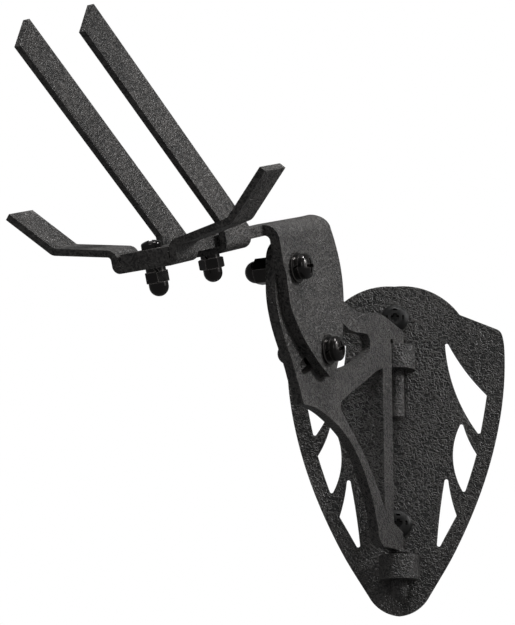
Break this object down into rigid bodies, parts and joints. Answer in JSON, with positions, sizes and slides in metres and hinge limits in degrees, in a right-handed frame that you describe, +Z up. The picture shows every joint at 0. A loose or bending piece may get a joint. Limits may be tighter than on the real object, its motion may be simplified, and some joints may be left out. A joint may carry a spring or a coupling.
{
  "type": "swing-arm wall display hanger",
  "caption": "Black steel wall hanger: arrowhead wall plate, lift-off swing arm, tilting bracket, upswept cradle arms and paired raised prongs.",
  "frame": {"origin": "midway between the two wall screws, on the back face of the wall plate", "axes": "+Z up the wall, +Y into the wall, so the hanger stands out towards -Y, and +X to the right of someone facing the wall"},
  "size_m": [0.2159, 0.3208, 0.2144],
  "materials": {
    "coated_steel": "black textured powder coat",
    "matte_screw": "matte black",
    "gloss_hardware": "gloss black"
  },
  "bodies": {
    "plate": {"wall_plate": "coated_steel", "hinge_sleeve_upper": "coated_steel", "hinge_sleeve_lower": "coated_steel", "wall_screws": "matte_screw"},
    "arm": {"swing_arm": "coated_steel", "hinge_pin_upper": "coated_steel", "hinge_pin_lower": "coated_steel"},
    "cradle": {"tilt_bracket": "coated_steel", "cradle_arms": "coated_steel", "prong_fork": "coated_steel", "pivot_screw": "gloss_hardware", "pivot_flat_washer": "gloss_hardware", "pivot_spring_washer": "gloss_hardware", "pivot_back_washer": "gloss_hardware", "pivot_cap_nut": "gloss_hardware", "lock_screw": "gloss_hardware", "lock_flat_washer": "gloss_hardware", "lock_spring_washer": "gloss_hardware", "lock_back_washer": "gloss_hardware", "lock_cap_nut": "gloss_hardware", "front_clip_screw": "gloss_hardware", "front_clip_washer": "gloss_hardware", "front_clip_nut": "gloss_hardware", "rear_clip_screw": "gloss_hardware", "rear_clip_washer": "gloss_hardware", "rear_clip_nut": "gloss_hardware"}
  },
  "joints": [
    {"name": "arm_swing", "type": "hinge", "parent": "plate", "child": "arm", "pos_m": [0, -0.0125, 0], "axis": [0, 0, 1], "range_deg": [-48, 100]},
    {"name": "cradle_tilt", "type": "hinge", "parent": "arm", "child": "cradle", "pos_m": [-0.05011, -0.12505, 0.0474], "axis": [0.9135, -0.4067, 0], "range_deg": [-23.3, 9]}
  ]
}
